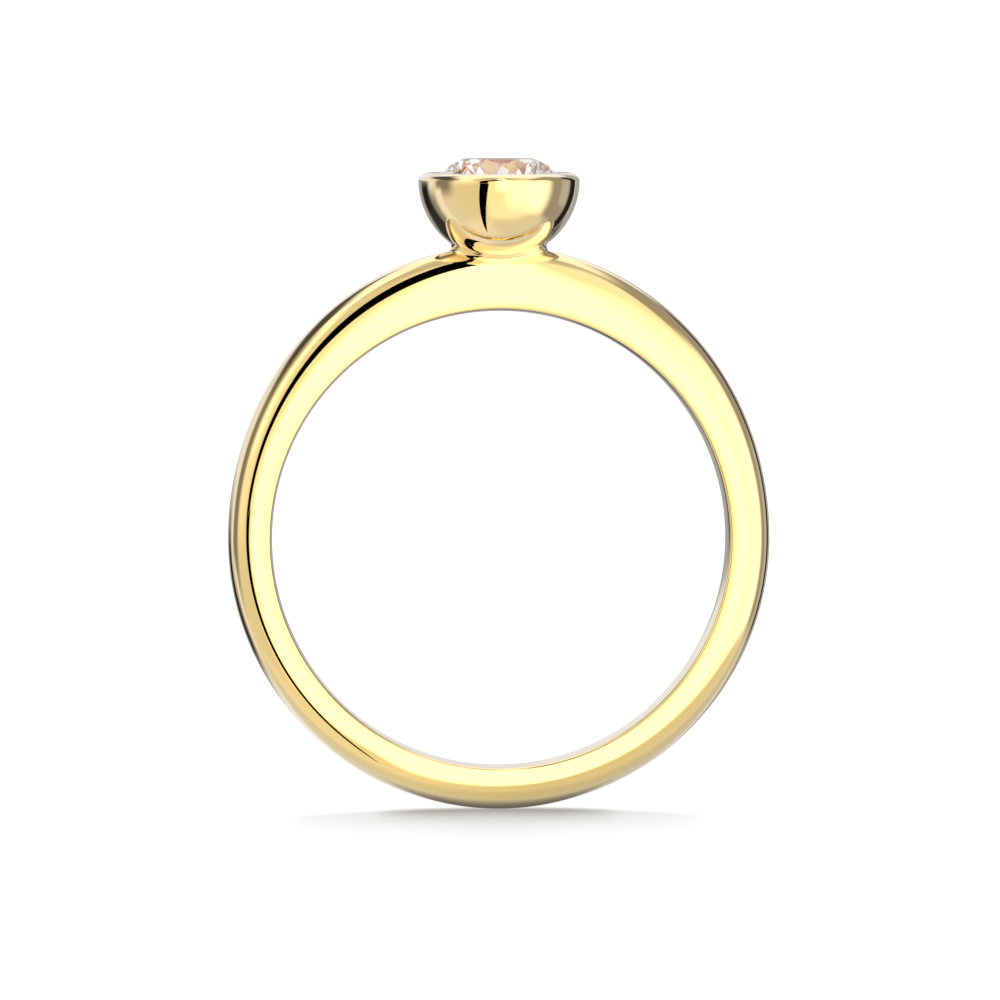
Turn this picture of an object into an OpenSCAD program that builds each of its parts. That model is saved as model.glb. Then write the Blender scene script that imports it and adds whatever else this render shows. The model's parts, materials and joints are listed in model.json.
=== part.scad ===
// Gold ring with one round brilliant cut stone in a closed bowl bezel.
// It is drawn upright about the finger's axis, with the stone up +Y and the finger along Z,
// and then laid on its side as it rests by itself: on the widest point of the bezel and on the
// far side of the band.

/* [Finger hole] */
// Diameter of the finger hole at its narrowest, in the middle of the band's width
finger_d = 17.2; // [16:0.1:19]
// Length of the straight wall in the middle of the hole
straight_l = 0.5; // [0.4:0.1:0.8]
// Radius of the comfort curve that widens the hole from its straight wall towards both ends
comfort_r = 2.8; // [2.4:0.1:4]
// Radius that rounds each edge of the finger hole
edge_r = 0.08; // [0.06:0.01:0.12]

/* [Band] */
// Width of the band along the finger
band_w = 2; // [1.8:0.1:2.4]
// Thickness of the band at its back and sides
band_t = 1.67; // [1.5:0.01:1.9]
// Thickness of the band under the bezel
shoulder_t = 2.47; // [2.3:0.01:2.6]
// Depth from the hole to the band's widest line, as a share of band_t
widest_share = 0.43; // [0.35:0.01:0.5]
// Narrowing of each side of the band from its widest line to the hole
side_draft = 0.06; // [0.04:0.01:0.08]
// Power of the curve that crowns the band: 2 is an ellipse, more is squarer
crown_power = 2.2; // [2:0.1:2.6]

/* [Bezel] */
// Diameter of the bezel at its widest
bezel_d = 6.1; // [5.9:0.1:6.4]
// Height of the bezel's widest level above the finger's centre
bezel_level = 13.57; // [13.4:0.01:13.8]
// Height of the bezel's rim above its widest level, which is also the radius of the rim's outer edge
rim_h = 0.26; // [0.2:0.01:0.3]
// Radius at which the bezel's rim ends over the stone
lip_r = 2.17; // [2.16:0.01:2.2]

/* [Stone] */
// Diameter of the stone at its girdle
stone_d = 4.5; // [4.4:0.05:4.6]
// Height of the girdle's upper edge above the bezel's widest level
girdle_rise = 0.09; // [0.06:0.01:0.1]
// Height of the girdle
girdle_h = 0.1; // [0.05:0.01:0.12]
// Width of the table, corner to corner, as a share of the stone's diameter
table_share = 0.63; // [0.53:0.01:0.65]
// Angle of the main crown facets above the girdle
crown_angle = 40; // [34:0.5:41]
// Angle of the main pavilion facets below the girdle
pavilion_angle = 40.8; // [40:0.1:42]
// Length of the star facets, as a share of the way from the table to the girdle
star_share = 0.58; // [0.5:0.01:0.6]
// Length of the lower half facets, as a share of the way from the girdle to the point
lower_half_share = 0.77; // [0.7:0.01:0.85]
// Turn of the stone in its bezel
stone_turn = 22.5; // [0:0.5:22.5]
// Clearance between the stone and the metal
stone_gap = 0.03; // [0.02:0.01:0.04]

/* [Hidden] */
$fn = 96;

// Band
stations = 96;
crown_steps = 9;
side_steps = 3;
bore_r = finger_d / 2;
half_w = band_w / 2;
widest_depth = widest_share * band_t;
side_r = bore_r + band_t;
top_r = bore_r + shoulder_t;
// Metal left inside the hole, which the hole's own cut removes
cut_margin = 0.5;
// Distance of the band's side from the middle of its width, at a depth from the hole
function side_level(depth) = half_w - side_draft * pow(1 - depth / widest_depth, 2);
// Angle at which the comfort curve runs into an edge that is rounded about this level
function curve_end(level) = asin((level - straight_l / 2) / (comfort_r - edge_r));
function edge_depth(level) = comfort_r - (comfort_r - edge_r) * cos(curve_end(level));
edge_level = side_level(edge_depth(side_level(0) - edge_r)) - edge_r;

// Bezel
bezel_r = bezel_d / 2;
rim_level = bezel_level + rim_h;

// Stone
stone_r = stone_d / 2;
table_r = table_share * stone_r;
girdle_level = bezel_level + girdle_rise;
crown_h = (stone_r - table_r) * tan(crown_angle);
pavilion_h = stone_r * tan(pavilion_angle);
star_r = (1 - star_share) * table_r * cos(22.5) + star_share * stone_r;
star_rise = crown_h * (stone_r - star_r * cos(22.5)) / (stone_r - table_r);
// The crown is steepest along the ridges that run from the star facets' tips to the girdle
ridge_angle = atan(star_rise / (stone_r - star_r));
lower_half_r = (1 - lower_half_share) * stone_r;
table_level = girdle_level + crown_h;
culet_level = girdle_level - girdle_h - pavilion_h;
// The seat is a cone, and the pavilion's facets stand out from the cone by this much
facet_bulge = pavilion_h * lower_half_r / stone_r * (1 - cos(22.5));

// One side of the band's section, as [depth from the hole, distance from the middle of its width]
side_points = [
    [-cut_margin, side_level(0)],
    for (i = [0 : side_steps - 1]) let (depth = widest_depth * i / side_steps) [depth, side_level(depth)]
];
function crown_point(t, a) = [
    widest_depth + (t - widest_depth) * pow(sin(a), 2 / crown_power),
    half_w * pow(cos(a), 2 / crown_power)
];
function half_section(t) = concat(
    side_points,
    [for (i = [0 : crown_steps]) crown_point(t, 90 * i / crown_steps)]
);
function mirrored(points) = [for (i = [len(points) - 1 : -1 : 0]) [points[i][0], -points[i][1]]];
function section(t) = let (half = half_section(t), other = mirrored(half))
    concat(half, [for (i = [1 : len(other) - 1]) other[i]]);

// Outer radius of the band at an angle from its top: an ellipse over the finger, a circle under it
function outer_r(a) = cos(a) > 0
    ? side_r * top_r / norm([top_r * sin(a), side_r * cos(a)])
    : side_r;

// Resting angle: how far the ring leans so that bezel and band touch the surface together
function reach(a) = max([for (p = half_section(band_t)) (bore_r + p[0]) * sin(a) + p[1] * cos(a)]);
function settled(a, tries) = tries == 0
    ? a
    : settled(asin((bezel_r - reach(a)) / bezel_level), tries - 1);
lean = settled(5, 40);
lift = bezel_r - bezel_level * sin(lean);
far_y = table_level * cos(lean) + table_r * sin(lean);
near_y = -reach(90 - lean);
centre_y = -(far_y + near_y) / 2;

// Upright ring to resting ring, with the origin under the middle of its box
module laid_down() {
    translate([0, centre_y, lift]) rotate([lean, 0, 0]) children();
}

// Things turned about the bezel's axis, which runs up +Y
module about_bezel() {
    rotate([-90, 0, 0]) children();
}

module band_blank() {
    rings = [
        for (s = [0 : stations - 1])
            let (a = 360 * s / stations, t = outer_r(a) - bore_r)
                [for (p = section(t)) [(bore_r + p[0]) * sin(a), (bore_r + p[0]) * cos(a), p[1]]]
    ];
    n = len(rings[0]);
    points = [for (ring = rings) each ring];
    faces = [
        for (s = [0 : stations - 1], i = [0 : n - 1])
            let (here = s * n, next = (s + 1) % stations * n, j = (i + 1) % n)
                each [[here + i, here + j, next + j], [here + i, next + j, next + i]]
    ];
    polyhedron(points, faces);
}

// The bowl is half a ball, with a flat rim on it whose outer edge is rounded
module bezel_profile() {
    translate([0, bezel_level]) {
        intersection() {
            circle(r = bezel_r);
            translate([0, -bezel_r]) square([bezel_r, bezel_r]);
        }
        square([bezel_r - rim_h, rim_h]);
        translate([bezel_r - rim_h, 0]) intersection() {
            circle(r = rim_h);
            square(rim_h);
        }
    }
}

// Hollow for the stone: a cone under it, a groove round its girdle and the rim's edge over it
module seat_profile() {
    wide = stone_r + stone_gap;
    under = stone_gap / cos(pavilion_angle) + facet_bulge;
    over = stone_gap / cos(ridge_angle);
    polygon([
        [0, culet_level - under],
        [wide, culet_level - under + wide * tan(pavilion_angle)],
        [wide, girdle_level + over - stone_gap * tan(ridge_angle)],
        [lip_r, girdle_level + over + (stone_r - lip_r) * tan(ridge_angle)],
        [lip_r, rim_level + 1],
        [0, rim_level + 1]
    ]);
}

// The finger hole: straight in the middle, then widening along the comfort curve to a rounded edge
module finger_profile() {
    edge_x = bore_r + edge_depth(edge_level);
    curve_top = straight_l / 2 + comfort_r * sin(curve_end(edge_level));
    difference() {
        translate([0, -band_w]) square([edge_x, 2 * band_w]);
        translate([bore_r, -straight_l / 2]) square([comfort_r, straight_l]);
        for (side = [0, 1]) mirror([0, side]) {
            intersection() {
                translate([bore_r + comfort_r, straight_l / 2]) circle(r = comfort_r);
                translate([bore_r, 0]) square([comfort_r, curve_top]);
            }
            translate([edge_x, edge_level]) circle(r = edge_r);
        }
    }
}

module band_and_bezel() {
    color("goldenrod") laid_down() difference() {
        union() {
            band_blank();
            about_bezel() rotate_extrude() bezel_profile();
        }
        about_bezel() rotate_extrude() seat_profile();
        rotate_extrude() finger_profile();
    }
}

module stone() {
    // Corners, each row counted round the stone: table, star tips, girdle's two edges, lower tips
    table_0 = 0;
    star_0 = 8;
    upper_0 = 16;
    lower_0 = 32;
    tip_0 = 48;
    culet = 56;
    tip_level = girdle_level - girdle_h - pavilion_h * (1 - lower_half_r / stone_r * cos(22.5));
    function row(count, first, r, z) = [
        for (k = [0 : count - 1]) let (a = first + 360 * k / count) [r * cos(a), r * sin(a), z]
    ];
    points = concat(
        row(8, 0, table_r, table_level),
        row(8, 22.5, star_r, girdle_level + star_rise),
        row(16, 0, stone_r, girdle_level),
        row(16, 0, stone_r, girdle_level - girdle_h),
        row(8, 22.5, lower_half_r, tip_level),
        [[0, 0, culet_level]]
    );
    table = [[for (k = [7 : -1 : 0]) table_0 + k]];
    eighths = [
        for (k = [0 : 7])
            let (l = (k + 1) % 8, m = (k + 7) % 8, g = 2 * k, h = 2 * k + 1, i = (2 * k + 2) % 16)
                each [
                    // Star facet
                    [table_0 + k, table_0 + l, star_0 + k],
                    // Kite facet, from the table to the girdle
                    [table_0 + k, star_0 + k, upper_0 + g, star_0 + m],
                    // Two upper half facets
                    [star_0 + k, upper_0 + h, upper_0 + g],
                    [star_0 + k, upper_0 + i, upper_0 + h],
                    // Two panels of the girdle
                    [upper_0 + g, upper_0 + h, lower_0 + h, lower_0 + g],
                    [upper_0 + h, upper_0 + i, lower_0 + i, lower_0 + h],
                    // Two lower half facets
                    [lower_0 + g, lower_0 + h, tip_0 + k],
                    [lower_0 + h, lower_0 + i, tip_0 + k],
                    // Main pavilion facet, from the girdle to the point
                    [lower_0 + g, tip_0 + k, culet, tip_0 + m]
                ]
    ];
    color("lightcyan") laid_down() about_bezel() rotate([0, 0, stone_turn])
        polyhedron(points, concat(table, eighths));
}

band_and_bezel();
stone();
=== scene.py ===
# Polished gold ring with a round stone in a bowl bezel, lying on its side on a pale floor.
import json
import math
import bpy
from mathutils import Matrix, Vector


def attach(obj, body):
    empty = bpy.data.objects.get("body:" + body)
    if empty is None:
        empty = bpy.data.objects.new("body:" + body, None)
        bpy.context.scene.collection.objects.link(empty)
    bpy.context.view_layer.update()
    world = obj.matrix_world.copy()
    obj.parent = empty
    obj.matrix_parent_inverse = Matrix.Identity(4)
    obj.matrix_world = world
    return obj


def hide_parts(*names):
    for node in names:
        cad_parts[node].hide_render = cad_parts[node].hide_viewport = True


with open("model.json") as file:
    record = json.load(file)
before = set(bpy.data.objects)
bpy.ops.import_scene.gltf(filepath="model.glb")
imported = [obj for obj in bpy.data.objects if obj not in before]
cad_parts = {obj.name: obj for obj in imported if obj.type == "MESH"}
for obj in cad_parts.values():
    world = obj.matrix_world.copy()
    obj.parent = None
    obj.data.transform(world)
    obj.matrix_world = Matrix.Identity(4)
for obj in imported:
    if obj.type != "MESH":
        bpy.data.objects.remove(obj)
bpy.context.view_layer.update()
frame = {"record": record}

# The ring is modelled upright, in millimetres about the finger's centre: X across, Y towards the
# stone, Z along the finger. UPRIGHT_TO_REST scales it to metres and lays it down as it rests.
HOLE = frame["record"]["mounts"][0]
HOLE_R = HOLE["dims"]["r_mm"]
LEAN = math.atan2(-HOLE["axis"][1], HOLE["axis"][2])
UPRIGHT_TO_REST = (
    Matrix.Translation(HOLE["pos_m"]) @ Matrix.Rotation(LEAN, 4, "X") @ Matrix.Scale(0.001, 4)
)

# Places nearer to each other than this are one, in millimetres. Cuts are finer than that, and
# the slivers that a boolean leaves are coarser
TOUCHING = 1e-4
CUT_FINENESS = 1e-6
SLIVER = 1e-3
# An edge stays sharp where the surface turns by more than this
SHARP_FROM = math.radians(35)
# Rounds of each guess that gets nearer from round to round
TRIES = 6

# Band: half its width, its thickness at its sides and under the bezel, the depth of its widest
# line from the hole, the power of its crown's curve, and how far its sides fall in at the hole
BAND_HALF = 1.0
BAND_T = 1.67
SHOULDER_T = 2.47
WIDEST_DEPTH = 0.43 * BAND_T
CROWN_POWER = 2.2
SIDE_FALL = 0.06
# Radii of the hole's comfort curve and of its rounded edges
COMFORT_R = 4
EDGE_R = 0.12
# Steps round the finger, and in each part of half the section
STATIONS = 288
WALL_STEPS = 6
EDGE_STEPS = 9
SIDE_STEPS = 7
CROWN_STEPS = 22

# Bezel: the bowl's side is an arc whose centre lies a little off the axis
BOWL_R = 2.96
BOWL_OFF = 0.09
BOWL_LEVEL = 13.545
# The bowl is spun down to this tilt from straight down, and drawn on from there to the fillet
BOWL_TILT = math.radians(62)
# The rim: its top, the flat there from its outer to its inner radius, the power of the curve
# outside it, and the lip that it rolls down to over the stone
RIM_TOP = 13.83
RIM_FLAT_R = (2.68, 2.4)
RIM_POWER = 1.75
LIP_R = 2.17
LIP_LEVEL = 13.79
# The fillet between bowl and band, and how far the surface runs on along the band before it
# sinks in and ends inside the metal
FILLET_R = 0.18
TAIL = 0.08
SINK = 0.003
ROOT = 0.3
# The fillet's place is looked for up to this tilt, by halving the range this often
MOST_TILT = math.radians(70)
HALVINGS = 24
# The seat: the gap round the girdle, the room under the stone's point, and how far the groove
# reaches above the girdle and stays below the lip
GIRDLE_GAP = 0.03
POINT_ROOM = 0.07
GROOVE_OVER = 0.012
GROOVE_UNDER = 0.015
# Steps round the bezel, and in each part of its outline
TURNS = 192
SEAT_STEPS = 6
ROLL_STEPS = 8
RIM_STEPS = 16
BOWL_STEPS = 14
BOWL_ROWS = 12
FILLET_ROWS = 7

# Stone, with the shares and angles that such a cut has
STONE_R = 2.25
TABLE_R = 0.63 * STONE_R
GIRDLE_LEVEL = 13.66
GIRDLE_H = 0.1
CROWN_H = (STONE_R - TABLE_R) * math.tan(math.radians(40))
PAVILION_H = STONE_R * math.tan(math.radians(40.8))
STAR_SHARE = 0.58
LOWER_HALF_SHARE = 0.77
STONE_TURN = math.radians(22.5)
EIGHTH = math.pi / 4
SIXTEENTH = math.pi / 8
# The rod that the stone is cut from
ROD_H = 8
ROD_SIDES = 96


def only(obj):
    """Makes obj the one selected and active object."""
    bpy.ops.object.select_all(action="DESELECT")
    obj.select_set(True)
    bpy.context.view_layer.objects.active = obj


def added(add, name, **settings):
    """A new primitive, alone in the selection."""
    bpy.ops.object.select_all(action="DESELECT")
    add(**settings)
    obj = bpy.context.object
    obj.name = obj.data.name = name
    return obj


def choose(obj, test):
    """In edit mode, selects the vertices of obj whose place passes the test."""
    bpy.ops.mesh.select_mode(type="VERT")
    bpy.ops.mesh.select_all(action="DESELECT")
    bpy.ops.object.mode_set(mode="OBJECT")
    for vertex in obj.data.vertices:
        vertex.select = test(vertex.co)
    bpy.ops.object.mode_set(mode="EDIT")


def drawn(name, points):
    """A line drawn from point to point, starting from a plane shrunk to one vertex. It is left
    in edit mode."""
    obj = added(bpy.ops.mesh.primitive_plane_add, name, size=1)
    bpy.ops.object.mode_set(mode="EDIT")
    bpy.ops.mesh.select_all(action="SELECT")
    bpy.ops.mesh.merge(type="CENTER")
    bpy.ops.transform.translate(value=points[0])
    for here, there in zip(points, points[1:]):
        step = Vector(there) - Vector(here)
        bpy.ops.mesh.extrude_vertices_move(TRANSFORM_OT_translate={"value": step})
    return obj


def turned(obj, axis, steps):
    """Spins the drawn line once round an axis through the finger's centre, in edit mode."""
    bpy.ops.mesh.select_all(action="SELECT")
    bpy.ops.mesh.spin(steps=steps, angle=2 * math.pi, center=(0, 0, 0), axis=axis)
    bpy.ops.mesh.select_all(action="SELECT")
    bpy.ops.mesh.remove_doubles(threshold=TOUCHING)
    bpy.ops.mesh.normals_make_consistent(inside=False)


def laid_down(obj):
    """Puts a finished upright piece where the resting ring has it, with the place in its mesh."""
    only(obj)
    obj.matrix_world = UPRIGHT_TO_REST
    bpy.ops.object.transform_apply(location=True, rotation=True, scale=True)
    return obj


def arc(centre, radii, start, end, steps, power=2):
    """Points along part of an ellipse, or of a squarer or more pointed curve of another power."""
    points = []
    for i in range(steps + 1):
        a = math.radians(start + (end - start) * i / steps)
        c, s = math.cos(a), math.sin(a)
        points.append((
            centre[0] + radii[0] * math.copysign(abs(c) ** (2 / power), c),
            centre[1] + radii[1] * math.copysign(abs(s) ** (2 / power), s),
        ))
    return points


def side_level(depth):
    """How far the band's side is from the middle of its width, at a depth from the hole."""
    return BAND_HALF - SIDE_FALL * (1 - depth / WIDEST_DEPTH) ** 2


def side_lean(depth):
    """The angle by which the band's side leans in there."""
    return math.atan(2 * SIDE_FALL / WIDEST_DEPTH * (1 - depth / WIDEST_DEPTH))


def edge_centre():
    """Centre of the edge's rounding, which touches both the hole's comfort curve and the side."""
    depth = EDGE_R
    for _ in range(TRIES):
        lean = side_lean(depth)
        level = side_level(depth - EDGE_R * math.sin(lean)) - EDGE_R * math.cos(lean)
        turn = math.asin(level / (COMFORT_R - EDGE_R))
        depth = COMFORT_R - (COMFORT_R - EDGE_R) * math.cos(turn)
    return depth, level, turn, lean


def half_section():
    """The band's section from the middle of the hole's wall to the middle of its outer side, as
    depth from the hole and distance from the middle of the width."""
    depth, level, turn, lean = edge_centre()
    wall_turns = [turn * i / WALL_STEPS for i in range(WALL_STEPS)]
    wall = [(COMFORT_R * (1 - math.cos(a)), COMFORT_R * math.sin(a)) for a in wall_turns]
    edge = arc(
        (depth, level), (EDGE_R, EDGE_R),
        180 - math.degrees(turn), 90 + math.degrees(lean), EDGE_STEPS,
    )
    start = edge[-1][0]
    depths = [start + (WIDEST_DEPTH - start) * i / SIDE_STEPS for i in range(1, SIDE_STEPS)]
    crown = arc(
        (WIDEST_DEPTH, 0), (BAND_T - WIDEST_DEPTH, BAND_HALF), 90, 0, CROWN_STEPS, CROWN_POWER
    )
    return wall + edge + [(d, side_level(d)) for d in depths] + crown


def crown_scale(depth):
    """How much further out the band reaches at its top than at its sides, at a depth."""
    grown = (SHOULDER_T - WIDEST_DEPTH) / (BAND_T - WIDEST_DEPTH)
    return (HOLE_R + WIDEST_DEPTH + (depth - WIDEST_DEPTH) * grown) / (HOLE_R + depth)


def make_band():
    """The section spun round the finger, then each line of its crown stretched up to the bezel."""
    half = half_section()
    other = [(depth, -w) for depth, w in reversed(half[1:-1])]
    section = half + other + half[:1]
    band = drawn("band", [(0, HOLE_R + depth, w) for depth, w in section])
    turned(band, (0, 0, 1), STATIONS)
    # The outermost line goes first, so that no stretched line is caught again by a later one
    for depth, w in reversed(half):
        if depth > WIDEST_DEPTH + TOUCHING:
            r = HOLE_R + depth
            choose(
                band, lambda p: p.y > TOUCHING and abs(math.hypot(p.x, p.y) - r) < 2 * TOUCHING
            )
            bpy.ops.transform.resize(value=(1, crown_scale(depth), 1), center_override=(0, 0, 0))
    bpy.ops.object.mode_set(mode="OBJECT")
    return band


def band_level(p):
    """Zero on the band's crowned surface, more outside it and less inside it."""
    a = math.atan2(p.x, p.y)
    side, top = HOLE_R + BAND_T, HOLE_R + SHOULDER_T
    outer = side * top / math.hypot(top * math.sin(a), side * math.cos(a))
    depth = math.hypot(p.x, p.y) - HOLE_R - WIDEST_DEPTH
    across = abs(p.z) / BAND_HALF
    along = max(depth, 0) / (outer - HOLE_R - WIDEST_DEPTH)
    return (across ** CROWN_POWER + along ** CROWN_POWER) ** (1 / CROWN_POWER) - 1


def onto_band(p):
    """The place on the band's surface beside p."""
    p = p.copy()
    for _ in range(TRIES):
        here = band_level(p)
        slope = Vector([
            (band_level(p + TOUCHING * way) - here) / TOUCHING
            for way in (Vector((1, 0, 0)), Vector((0, 1, 0)), Vector((0, 0, 1)))
        ])
        p -= slope * here / slope.length_squared
    return p


def bowl_direction(turn, tilt):
    """A direction from the bowl's centre: turn round its axis, tilt up from straight down."""
    out = Vector((math.cos(turn), 0, math.sin(turn)))
    return out, out * math.sin(tilt) + Vector((0, -math.cos(tilt), 0))


def fillet_at(turn):
    """Where a ball of the fillet's radius rests in the corner of bowl and band: the bowl's tilt
    there, the ball's centre, and the place where it touches the band."""
    low, high = 0, MOST_TILT
    for _ in range(HALVINGS):
        tilt = (low + high) / 2
        out, way = bowl_direction(turn, tilt)
        ball = out * BOWL_OFF + Vector((0, BOWL_LEVEL, 0)) + way * (BOWL_R + FILLET_R)
        touch = onto_band(ball)
        clear = (ball - touch).length if band_level(ball) > 0 else 0
        low, high = (tilt, high) if clear < FILLET_R else (low, tilt)
    return tilt, ball, touch


def joint_rows():
    """The rows of places that carry the bowl's surface down, round the fillet and into the band."""
    columns = []
    for k in range(TURNS):
        turn = 2 * math.pi * k / TURNS
        tilt, ball, touch = fillet_at(turn)
        column = []
        for i in range(1, BOWL_ROWS + 1):
            out, way = bowl_direction(turn, BOWL_TILT + (tilt - BOWL_TILT) * i / BOWL_ROWS)
            column.append(out * BOWL_OFF + Vector((0, BOWL_LEVEL, 0)) + way * BOWL_R)
        first, last = (column[-1] - ball).normalized(), (touch - ball).normalized()
        for i in range(1, FILLET_ROWS + 1):
            column.append(ball + first.slerp(last, i / FILLET_ROWS) * FILLET_R)
        away = -last.cross(first.cross(last)).normalized()
        tail = onto_band(touch + away * TAIL)
        column += [tail + last * SINK, tail + last * ROOT]
        columns.append(column)
    return list(zip(*columns))


def bowl_outline():
    """The bezel's half outline from the seat's point, round the rim, to the bowl's side."""
    flat_from, flat_to = RIM_FLAT_R
    rim = arc(
        (flat_from, BOWL_LEVEL), (BOWL_OFF + BOWL_R - flat_from, RIM_TOP - BOWL_LEVEL),
        90, 0, RIM_STEPS, RIM_POWER,
    )
    roll = arc(
        (flat_to, LIP_LEVEL), (flat_to - LIP_R, RIM_TOP - LIP_LEVEL), 180, 90, ROLL_STEPS
    )
    bowl = arc(
        (BOWL_OFF, BOWL_LEVEL), (BOWL_R, BOWL_R), 0, math.degrees(BOWL_TILT) - 90, BOWL_STEPS
    )
    groove_r = STONE_R + GIRDLE_GAP
    seat_foot = GIRDLE_LEVEL - GIRDLE_H - PAVILION_H - POINT_ROOM
    seat_h = groove_r * PAVILION_H / STONE_R
    shares = [i / SEAT_STEPS for i in range(SEAT_STEPS + 1)]
    seat = [(groove_r * share, seat_foot + seat_h * share) for share in shares]
    groove = [(groove_r, GIRDLE_LEVEL + GROOVE_OVER), (LIP_R, LIP_LEVEL - GROOVE_UNDER)]
    return seat + groove + roll + rim + bowl[1:]


def make_bezel():
    """The bezel's outline spun round its axis, with rows drawn out of its foot into the band."""
    bezel = drawn("bezel", [(r, level, 0) for r, level in bowl_outline()])
    turned(bezel, (0, 1, 0), TURNS)
    foot = BOWL_LEVEL - BOWL_R * math.cos(BOWL_TILT)
    foot_r = BOWL_OFF + BOWL_R * math.sin(BOWL_TILT)
    choose(
        bezel,
        lambda p: abs(p.y - foot) < TOUCHING and abs(math.hypot(p.x, p.z) - foot_r) < 10 * TOUCHING,
    )
    for row in joint_rows():
        bpy.ops.mesh.extrude_edges_move()
        bpy.ops.object.mode_set(mode="OBJECT")
        for vertex in bezel.data.vertices:
            if vertex.select:
                turn = math.atan2(vertex.co.z, vertex.co.x)
                vertex.co = row[round(turn / (2 * math.pi) * TURNS) % TURNS]
        bpy.ops.object.mode_set(mode="EDIT")
    bpy.ops.mesh.edge_face_add()
    bpy.ops.mesh.select_all(action="SELECT")
    bpy.ops.mesh.normals_make_consistent(inside=False)
    bpy.ops.object.mode_set(mode="OBJECT")
    return bezel


def make_metal():
    """Band and bezel fused into one body."""
    band, bezel = make_band(), make_bezel()
    only(band)
    weld = band.modifiers.new("weld", "BOOLEAN")
    weld.operation, weld.solver, weld.object = "UNION", "EXACT", bezel
    bpy.ops.object.modifier_apply(modifier=weld.name)
    bpy.data.objects.remove(bezel)
    bpy.ops.object.mode_set(mode="EDIT")
    bpy.ops.mesh.select_all(action="SELECT")
    bpy.ops.mesh.dissolve_degenerate(threshold=SLIVER)
    bpy.ops.object.mode_set(mode="OBJECT")
    bpy.ops.object.shade_smooth_by_angle(angle=SHARP_FROM)
    band.name = band.data.name = "gold_ring"
    return laid_down(band)


def cut_facet(corners):
    """Cuts the stone flat through three places on it and throws the outer side away."""
    a, b, c = (Vector(p) for p in corners)
    normal = (b - a).cross(c - a).normalized()
    middle = Vector((0, 0, GIRDLE_LEVEL - GIRDLE_H))
    if normal.dot(a - middle) < 0:
        normal.negate()
    bpy.ops.mesh.select_all(action="SELECT")
    bpy.ops.mesh.bisect(
        plane_co=a, plane_no=normal, use_fill=True, clear_outer=True, threshold=CUT_FINENESS
    )


def at(r, turn, level):
    """A place on the stone while it is cut, with its table up Z."""
    return (r * math.cos(turn), r * math.sin(turn), level)


def make_stone():
    """A round rod cut as a cutter does it: table, mains, stars and halves, above and below."""
    stone = added(
        bpy.ops.mesh.primitive_cylinder_add, "brilliant", vertices=ROD_SIDES, radius=STONE_R,
        depth=ROD_H, location=(0, 0, GIRDLE_LEVEL),
    )
    bpy.ops.object.transform_apply(location=True)
    bpy.ops.object.mode_set(mode="EDIT")
    table_level = GIRDLE_LEVEL + CROWN_H
    bottom = GIRDLE_LEVEL - GIRDLE_H
    star_r = (1 - STAR_SHARE) * TABLE_R * math.cos(SIXTEENTH) + STAR_SHARE * STONE_R
    star_rise = CROWN_H * (STONE_R - star_r * math.cos(SIXTEENTH)) / (STONE_R - TABLE_R)
    tip_r = (1 - LOWER_HALF_SHARE) * STONE_R
    tip_fall = PAVILION_H * (1 - tip_r / STONE_R * math.cos(SIXTEENTH))
    star_level, tip_level = GIRDLE_LEVEL + star_rise, bottom - tip_fall
    for k in range(8):
        turn = STONE_TURN + k * EIGHTH
        before, after = turn - SIXTEENTH, turn + SIXTEENTH
        star, other_star = at(star_r, after, star_level), at(star_r, before, star_level)
        tip, other_tip = at(tip_r, after, tip_level), at(tip_r, before, tip_level)
        upper, lower = at(STONE_R, turn, GIRDLE_LEVEL), at(STONE_R, turn, bottom)
        upper_mid, lower_mid = at(STONE_R, after, GIRDLE_LEVEL), at(STONE_R, after, bottom)
        upper_next = at(STONE_R, turn + EIGHTH, GIRDLE_LEVEL)
        lower_next = at(STONE_R, turn + EIGHTH, bottom)
        cut_facet((star, other_star, upper))
        cut_facet((tip, other_tip, lower))
        cut_facet((at(TABLE_R, turn, table_level), at(TABLE_R, turn + EIGHTH, table_level), star))
        cut_facet((star, upper, upper_mid))
        cut_facet((star, upper_mid, upper_next))
        cut_facet((tip, lower, lower_mid))
        cut_facet((tip, lower_mid, lower_next))
    cut_facet([at(TABLE_R, k * EIGHTH, table_level) for k in (0, 2, 4)])
    bpy.ops.mesh.select_all(action="SELECT")
    bpy.ops.mesh.remove_doubles(threshold=TOUCHING)
    bpy.ops.mesh.normals_make_consistent(inside=False)
    bpy.ops.object.mode_set(mode="OBJECT")
    stone.matrix_world = Matrix.Rotation(-math.pi / 2, 4, "X")
    bpy.ops.object.transform_apply(rotation=True)
    return laid_down(stone)


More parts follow.
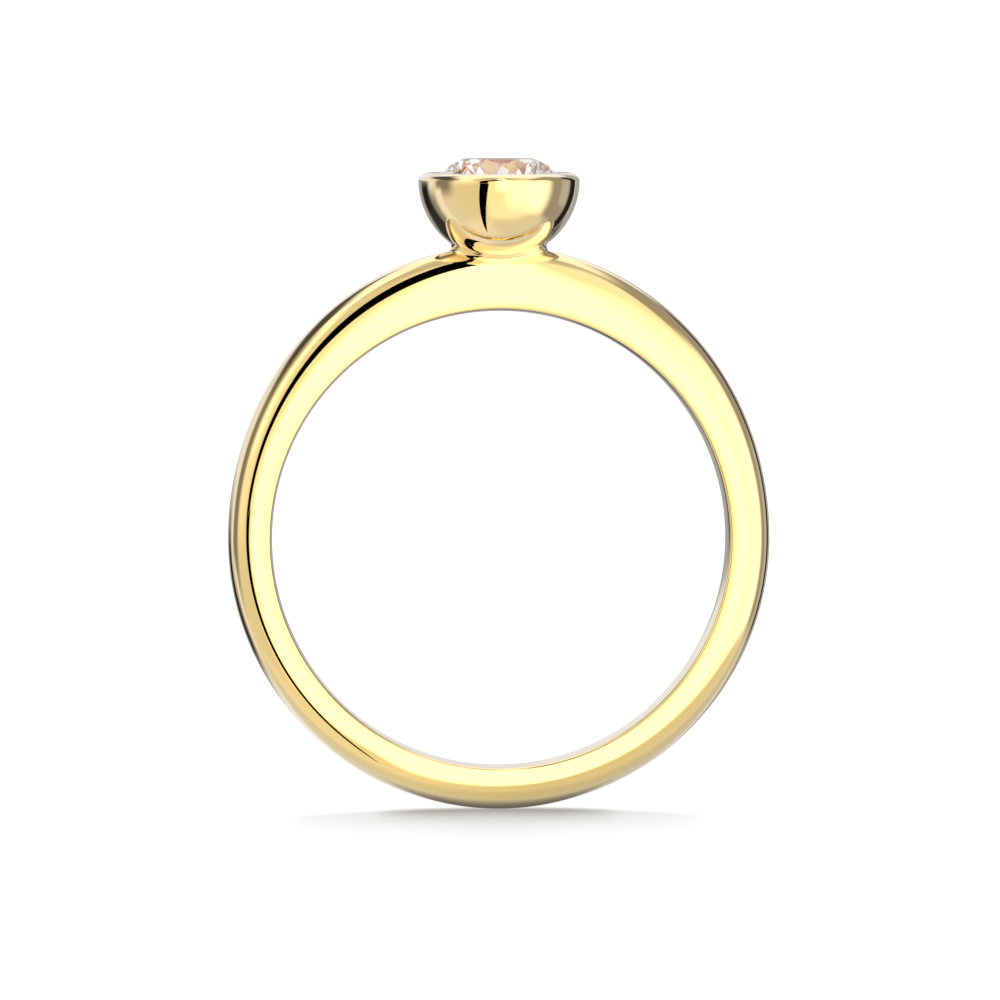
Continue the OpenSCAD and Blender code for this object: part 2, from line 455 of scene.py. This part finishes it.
class Wire:
    """A socket in a node tree. Arithmetic on it adds Math nodes, and node adds any other one."""

    def __init__(self, tree, socket=None):
        self.tree, self.socket = tree, socket

    def node(self, kind, settings, values, output=0):
        """A node of a kind: its settings first, then its sockets' values or wires."""
        node = self.tree.nodes.new(kind)
        for key, setting in settings.items():
            setattr(node, key, setting)
        for key, value in values.items():
            if isinstance(value, Wire):
                self.tree.links.new(value.socket, node.inputs[key])
            else:
                node.inputs[key].default_value = value
        return Wire(self.tree, node.outputs[output])

    def maths(self, operation, *values):
        """A Math node on these values."""
        return self.node("ShaderNodeMath", {"operation": operation}, dict(enumerate(values)))

    def __add__(self, other):
        return self.maths("ADD", self, other)

    def __sub__(self, other):
        return self.maths("SUBTRACT", self, other)

    def __rsub__(self, other):
        return self.maths("SUBTRACT", other, self)

    def __neg__(self):
        return 0 - self

    def __mul__(self, other):
        return self.maths("MULTIPLY", self, other)

    def __truediv__(self, other):
        return self.maths("DIVIDE", self, other)

    def __pow__(self, power):
        return self.maths("POWER", self, power)

    __radd__, __rmul__ = __add__, __mul__

    def at_least(self, other):
        """The greater of the two values."""
        return self.maths("MAXIMUM", self, other)

    def rise(self, low, high):
        """Zero below low and one above high, with a smooth step between them."""
        return self.node("ShaderNodeMapRange", {"interpolation_type": "SMOOTHSTEP"}, {
            "Value": self, "From Min": low, "From Max": high,
        })

    def within(self, low, high, soft):
        """One between low and high and zero outside them, with soft edges of that width."""
        half = soft / 2
        return self.rise(low - half, low + half) * (1 - self.rise(high - half, high + half))

    def parts(self):
        """The X, Y and Z of a vector."""
        split = self.node("ShaderNodeSeparateXYZ", {}, {"Vector": self})
        return [Wire(self.tree, out) for out in split.socket.node.outputs]

    def upright(self):
        """A direction of the resting ring's frame as one of the upright ring's."""
        return self.node("ShaderNodeVectorRotate", {"rotation_type": "X_AXIS"}, {
            "Vector": self, "Angle": -LEAN,
        })


def mixed(one, other, share):
    """A value moved by a share of the way to another."""
    return one + (other - one) * share


def in_degrees(angle):
    """Radians as degrees."""
    return angle * (180 / math.pi)


def material(name):
    """A new material with an empty tree, and the wire that its nodes are added from."""
    made = bpy.data.materials.new(name)
    made.use_nodes = True
    made.node_tree.nodes.clear()
    return made, Wire(made.node_tree)


def shown(wire, target="ShaderNodeOutputMaterial"):
    """Ends a tree: its last shader goes to the material's or the world's output."""
    end = wire.tree.nodes.new(target)
    wire.tree.links.new(wire.socket, end.inputs["Surface"])


def drifting(place, scale, colours):
    """Two colours that drift into each other over a piece, in spots of a size set by scale."""
    cloud = place.node("ShaderNodeTexNoise", {}, {"Vector": place, "Scale": scale, "Detail": 2})
    return place.node("ShaderNodeMix", {"data_type": "RGBA"}, {
        "Factor": cloud, 6: colours[0], 7: colours[1],
    }, 2)


# Gold: its two colours and the pale one of its edges, the scales at which the two drift and the
# gloss is uneven, its least roughness and what is added to that, and how much and how soon it
# pales towards its edges
GOLD_COLOURS = ((1.0, 0.735, 0.272, 1), (1.0, 0.722, 0.286, 1))
EDGE_COLOUR = (1, 1, 1, 1)
GOLD_DRIFT, GOLD_HAZE = 260, 1900
GOLD_ROUGHNESS, GOLD_UNEVEN = 0.02, 0.03
GOLD_PALE, GOLD_PALE_POWER = 0.9, 1.25


def gold_material():
    """Polished yellow gold, whose mirror pales towards its edges. Hand polish leaves the colour
    and the gloss very slightly uneven."""
    gold, wire = material("polished_gold")
    place = wire.node("ShaderNodeTexCoord", {}, {}, "Object")
    haze = wire.node("ShaderNodeTexNoise", {}, {"Vector": place, "Scale": GOLD_HAZE, "Detail": 3})
    colour = drifting(place, GOLD_DRIFT, GOLD_COLOURS)
    gloss = {"Metallic": 1.0, "Roughness": GOLD_ROUGHNESS + haze * GOLD_UNEVEN}
    facing = wire.node("ShaderNodeLayerWeight", {}, {"Blend": 0.5}, "Facing")
    shown(wire.node("ShaderNodeMixShader", {}, {
        0: GOLD_PALE * facing ** GOLD_PALE_POWER,
        1: wire.node("ShaderNodeBsdfPrincipled", {}, {"Base Color": colour, **gloss}),
        2: wire.node("ShaderNodeBsdfPrincipled", {}, {"Base Color": EDGE_COLOUR, **gloss}),
    }))
    return gold


# Stone: its two near whites, the scale at which they drift, and diamond's index of refraction
STONE_COLOURS = ((1.0, 1.0, 1.0, 1), (0.985, 0.99, 1.0, 1))
STONE_DRIFT = 700
DIAMOND_IOR = 2.417


def stone_material():
    """Clear colourless stone, with a breath of cloud deep in it."""
    clear, wire = material("clear_diamond")
    place = wire.node("ShaderNodeTexCoord", {}, {}, "Object")
    colour = drifting(place, STONE_DRIFT, STONE_COLOURS)
    shown(wire.node("ShaderNodeBsdfPrincipled", {}, {
        "Base Color": colour, "Roughness": 0.0, "IOR": DIAMOND_IOR, "Transmission Weight": 1.0,
    }))
    return clear


# Camera, in the upright ring's own directions: a little to the left and above the finger's axis.
# Its distance and the width that the image takes in are in millimetres, and the place of the
# finger's centre in the image is in thousandths of that width, to the right and up
CAMERA_LEFT = math.radians(3.7)
CAMERA_UP = math.radians(2.9)
CAMERA_AWAY = 480
FRAME_MM = 37.857
CENTRE_SEEN = (-1, -37.9)
SENSOR_MM = 36
# What the camera sees lies between these distances, in metres
SEEN_FROM, SEEN_TO = 0.01, 10


def make_camera():
    """A long lens at the photograph's angle to the ring."""
    away = Vector((
        -math.sin(CAMERA_LEFT) * math.cos(CAMERA_UP),
        math.sin(CAMERA_UP),
        math.cos(CAMERA_LEFT) * math.cos(CAMERA_UP),
    ))
    right = Vector((0, 1, 0)).cross(away).normalized()
    up = away.cross(right)
    middle = -right * CENTRE_SEEN[0] * FRAME_MM / 1000 - up * CENTRE_SEEN[1] * FRAME_MM / 1000
    place = middle + away * CAMERA_AWAY
    turn = Matrix((right, up, away)).transposed().to_4x4()
    data = bpy.data.cameras.new("camera")
    data.sensor_width = SENSOR_MM
    data.lens = SENSOR_MM * CAMERA_AWAY / FRAME_MM
    data.clip_start, data.clip_end = SEEN_FROM, SEEN_TO
    camera = bpy.data.objects.new("camera", data)
    bpy.context.scene.collection.objects.link(camera)
    rest = UPRIGHT_TO_REST @ Matrix.Translation(place) @ turn
    camera.matrix_world = Matrix.LocRotScale(rest.to_translation(), rest.to_quaternion(), None)
    bpy.context.scene.camera = camera


# The studio, as the upright ring sees it: each panel or flag by its turn to the right of the
# camera's side and its height over the horizon, in degrees, from and to, then its brightness and
# how soft its edges are. A later one stands in front of those before it, and STUDIO_LIGHT is the
# brightness where none stands.
STUDIO_LIGHT = 0.98
STUDIO = [
    ("back wall", -190, -155, -95, 3, 0.5, 8),
    ("high back wall", -190, -146, 3, 34, 1.05, 6),
    ("right back wall", 140, 190, -95, 34, 0.5, 8),
    ("right high back wall", 162, 190, 3, 34, 1.0, 8),
    ("ceiling", -190, 190, 57, 95, 1.5, 10),
    ("front ceiling", -84, 66, 55, 95, 0.75, 12),
    ("left wall glow", -74, -36, -2, 30, 1.3, 16),
    ("left strip", -66, -48, 14, 46, 1.85, 8),
    ("left strip top", -84, -60, 44, 72, 1.8, 10),
    ("left dark", -110, -77, -15, 45, 0.3, 18),
    ("left high dark", -150, -92, 30, 54, 0.1, 10),
    ("left lamp", -137, -108, -7, 24, 1.1, 10),
    ("left lamp foot", -114, -97, -62, -8, 1.15, 8),
    ("left shade", -140, -113, -90, -11, 0.35, 14),
    ("left flag", -155, -127, -90, 1, 0.02, 14),
    ("left back floor", -178, -130, -95, -18, 0.04, 12),
    ("back glow", -190, -156, 36, 60, 1.4, 12),
    ("right wall", 80, 130, -62, 60, 0.42, 12),
    ("right lamp", 99, 117, -22, 14, 0.62, 6),
    ("right flag", 121, 138, -75, 38, 0.02, 6),
    ("right back glow", 142, 190, 32, 60, 1.35, 10),
    ("right back floor", 138, 190, -95, -22, 0.12, 10),
    ("window", -24, 75, -58, 56, 1.4, 12),
    ("window heart", 10, 68, -36, 26, 2.3, 24),
    ("window corner", 52, 84, 36, 58, 0.45, 12),
    ("window gap", -6, 12, -14, 76, 2.8, 12),
]
# The dark post in front of them: the turn of its left and right edge, each with the height over
# which that edge bends away to the right, how much it bends, how soft both are, and its own
# foot and head with the softness of those
POST_LEFT, POST_RIGHT = (-31.5, 25), (-19.5, 8)
POST_BEND = 0.0175
POST_SOFT = 0.8
POST_HEIGHTS = (-0.5, 57, 1)
# What the stone sees is moved this much of the way to a brighter even light, and what matt
# things see is even too, but dim
STONE_LIGHT, STONE_SHARE = 1.1, 0.75
MATT_LIGHT = 0.1


def studio_light(turn, height):
    """The studio's brightness in one direction, given in degrees."""
    light = STUDIO_LIGHT
    for _, left, right, foot, head, brightness, soft in STUDIO:
        panel = turn.within(left, right, soft) * height.within(foot, head, soft)
        light = mixed(light, brightness, panel)
    return light


def past_edge(turn, height, edge):
    """One to the right of an edge of the dark post and zero to the left of it."""
    foot, bends_from = edge
    over = (height - bends_from).at_least(0)
    return (turn - foot - over * over * POST_BEND).rise(-POST_SOFT, POST_SOFT)


def dark_post(turn, height):
    """How much of one direction the dark post fills."""
    beside = past_edge(turn, height, POST_LEFT) * (1 - past_edge(turn, height, POST_RIGHT))
    return beside * height.within(*POST_HEIGHTS)


def make_world():
    """The studio shows in polished and clear things. All else sees even white light."""
    world = bpy.data.worlds.new("studio")
    world.use_nodes = True
    world.node_tree.nodes.clear()
    bpy.context.scene.world = world
    wire = Wire(world.node_tree)
    x, y, z = wire.node("ShaderNodeTexCoord", {}, {}, "Generated").upright().parts()
    turn = in_degrees(wire.maths("ARCTAN2", x, z))
    height = in_degrees(wire.maths("ARCSINE", y))
    light = studio_light(turn, height) * (1 - dark_post(turn, height))
    through = wire.node("ShaderNodeLightPath", {}, {}, "Is Transmission Ray")
    seen = wire.node("ShaderNodeLightPath", {}, {}, "Is Camera Ray")
    matt = wire.node("ShaderNodeLightPath", {}, {}, "Is Diffuse Ray")
    mirrored = mixed(light, STONE_LIGHT, through * STONE_SHARE)
    even = mixed(1, MATT_LIGHT, matt)
    shown(wire.node("ShaderNodeMixShader", {}, {
        0: seen.at_least(matt),
        1: wire.node("ShaderNodeBackground", {}, {"Strength": mirrored}),
        2: wire.node("ShaderNodeBackground", {}, {"Strength": even}),
    }), "ShaderNodeOutputWorld")
    world.cycles.sampling_method = "NONE"


# The card on the ground that the upright ring would stand on, in the ring's millimetres: its
# level under the finger's centre and its size. X goes right and Z towards the camera
GROUND_Y = -10.32
GROUND_SIZE = 3000
# A warm patch on it fades out over this stretch from its middle, and the stretch moves out by
# PATCH_MORE where X goes from the first to the second value of PATCH_RIGHT
PATCH_FADE = (13, 24)
PATCH_RIGHT, PATCH_MORE = (4, 14), 9
# In front it ends at a line, given by its Z at X = 0, its slope and its bend, and fades out
# over that line. That holds to the right of where X goes over FRONT_FROM
FRONT_LINE, FRONT_SLOPE, FRONT_BEND = 5.6, 0.8, 0.0255
FRONT_FADE = (-0.4, 9)
FRONT_FROM = (-5, -3)
# The patch's brightness, and what it gains towards the left
PATCH_LIGHT, LEFT_GAIN, LEFT_FADE = 0.76, 0.14, (-2, 5)
# What is left of it under the band, by the square of Z, and where the ring stands, by the sum
# of the squares of X and Z, each divided by a number of its own
BAND_SHADE, BAND_FADE = 0.8, (1, 9)
STAND_SHADE, STAND_X, STAND_Z = 0.2, 32, 1.1
# What it loses at the back right, over these stretches of Z to the back and X to the right
BACK_LOSS, BACK_FADE, BACK_RIGHT = 0.5, (3.5, 7), (-8, 2)
# The dark post's foot: the X and Z that its edges run out from, their turns with a softness, and
# the stretch of Z over which it begins
POST_X, POST_Z = -5.2, 3.6
POST_TURNS = (-30.6, -17.3, 1)
POST_START = (0, 0.5)


def ground_patch(wire, x, z):
    """How much of one place on the ground the warm patch fills."""
    away = wire.maths("SQRT", x * x + z * z) - x.rise(*PATCH_RIGHT) * PATCH_MORE
    past_line = z - FRONT_LINE - x * (FRONT_SLOPE - x * FRONT_BEND)
    front = past_line.rise(*FRONT_FADE) * x.rise(*FRONT_FROM)
    return (1 - away.rise(*PATCH_FADE)) * (1 - front)


def ground_light(x, z):
    """The warm patch's brightness in one place."""
    light = PATCH_LIGHT + (-x).rise(*LEFT_FADE) * LEFT_GAIN
    light = light * mixed(BAND_SHADE, 1, (z * z).rise(*BAND_FADE))
    light = light * mixed(STAND_SHADE, 1, (x * x / STAND_X + z * z / STAND_Z).rise(0, 1))
    return light * (1 - BACK_LOSS * (-z).rise(*BACK_FADE) * x.rise(*BACK_RIGHT))


def ground_material():
    """The ground as the ring's polish mirrors it: a warm patch round the ring's foot, and the
    foot of the dark post, which runs out to the horizon."""
    ground, wire = material("ground_card")
    place = wire.node("ShaderNodeTexCoord", {}, {}, "Object")
    centred = wire.node("ShaderNodeVectorMath", {"operation": "SUBTRACT"}, {
        0: place, 1: HOLE["pos_m"],
    })
    x, _, z = centred.upright().parts()
    x, z = x * 1000, z * 1000
    post_turn = in_degrees(wire.maths("ARCTAN2", x - POST_X, z - POST_Z))
    post = post_turn.within(*POST_TURNS) * (z - POST_Z).rise(*POST_START)
    shown(wire.node("ShaderNodeMixShader", {}, {
        0: ground_patch(wire, x, z).at_least(post),
        1: wire.node("ShaderNodeBsdfTransparent", {}, {}),
        2: wire.node("ShaderNodeEmission", {}, {"Strength": ground_light(x, z) * (1 - post)}),
    }))
    return ground


def make_ground():
    """The card under the upright ring, which only reflections see."""
    card = added(bpy.ops.mesh.primitive_plane_add, "ground_card", size=GROUND_SIZE)
    card.data.materials.append(ground_material())
    bpy.ops.object.mode_set(mode="EDIT")
    bpy.ops.mesh.select_all(action="SELECT")
    bpy.ops.transform.rotate(value=math.pi / 2, orient_axis="X", center_override=(0, 0, 0))
    bpy.ops.transform.translate(value=(0, GROUND_Y, 0))
    bpy.ops.object.mode_set(mode="OBJECT")
    laid_down(card)
    card.visible_camera = card.visible_diffuse = card.visible_shadow = False
    card.visible_transmission = False


# Floor, in metres, its colour, and its own light, which keeps it white round the ring
FLOOR_SIZE = 4
FLOOR_COLOUR = (0.85, 0.85, 0.85, 1)
FLOOR_GLOW = 0.91
# Shadow on the floor under the foot of the ring: the Y of its upper edge at X = 0, how that edge
# bends, and the depth over which it fades in
SHADOW_TOP, SHADOW_BEND, SHADOW_EDGE = -0.0122, 4.5, 0.00018
# Its wide soft part and its narrow dark part: half width, length and strength
SHADOWS = [(0.0088, 0.0022, 0.4), (0.0047, 0.0008, 0.6)]


def floor_shadow(x, y):
    """How dark the shadow is in one place on the floor."""
    below = SHADOW_TOP - y - x * x * SHADOW_BEND
    shade = 0
    for half, length, strength in SHADOWS:
        across = x / half
        beside = (1 - (across * across) ** 2).at_least(0)
        shade = shade + beside * (1 - below / length).at_least(0) ** 2 * strength
    return shade * below.rise(0, SHADOW_EDGE)


def floor_material():
    """Pale matt floor, which reflections and the stone see through to the studio."""
    pale, wire = material("pale_floor")
    x, y, _ = wire.node("ShaderNodeTexCoord", {}, {}, "Object").parts()
    lit = FLOOR_GLOW * (1 - floor_shadow(x, y))
    matt = wire.node("ShaderNodeBsdfDiffuse", {}, {"Color": FLOOR_COLOUR})
    glow = wire.node("ShaderNodeEmission", {}, {"Strength": lit})
    mirrored = wire.node("ShaderNodeLightPath", {}, {}, "Is Glossy Ray")
    refracted = wire.node("ShaderNodeLightPath", {}, {}, "Is Transmission Ray")
    shown(wire.node("ShaderNodeMixShader", {}, {
        0: mirrored.at_least(refracted),
        1: wire.node("ShaderNodeAddShader", {}, {0: matt, 1: glow}),
        2: wire.node("ShaderNodeBsdfTransparent", {}, {}),
    }))
    return pale


def make_floor():
    """The plain floor that the ring lies on."""
    floor = added(bpy.ops.mesh.primitive_plane_add, "floor", size=FLOOR_SIZE)
    floor.data.materials.append(floor_material())


# Lamp, in metres and watts
LAMP_PLACE = (0, 0.17, 0.24)
LAMP_SIZE = 0.2
LAMP_POWER = 0.15


def make_lamp():
    """A faint soft lamp beyond the bezel, which only the floor sees."""
    data = bpy.data.lights.new("soft_lamp", "AREA")
    data.shape, data.size, data.energy = "DISK", LAMP_SIZE, LAMP_POWER
    lamp = bpy.data.objects.new("soft_lamp", data)
    bpy.context.scene.collection.objects.link(lamp)
    place = Vector(LAMP_PLACE)
    lamp.matrix_world = Matrix.LocRotScale(place, place.to_track_quat("Z", "Y"), None)
    lamp.visible_glossy = lamp.visible_transmission = False


metal = make_metal()
metal.data.materials.append(gold_material())
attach(metal, "root")
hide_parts("band_and_bezel")
stone = make_stone()
stone.data.materials.append(stone_material())
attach(stone, "root")
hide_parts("stone")

make_world()
make_ground()
make_floor()
make_lamp()
make_camera()

# Light goes from facet to facet many times before it leaves the stone
STONE_BOUNCES = 40
scene = bpy.context.scene
scene.view_settings.view_transform = "Standard"
scene.cycles.glossy_bounces = scene.cycles.transmission_bounces = STONE_BOUNCES
scene.cycles.max_bounces = STONE_BOUNCES + 8
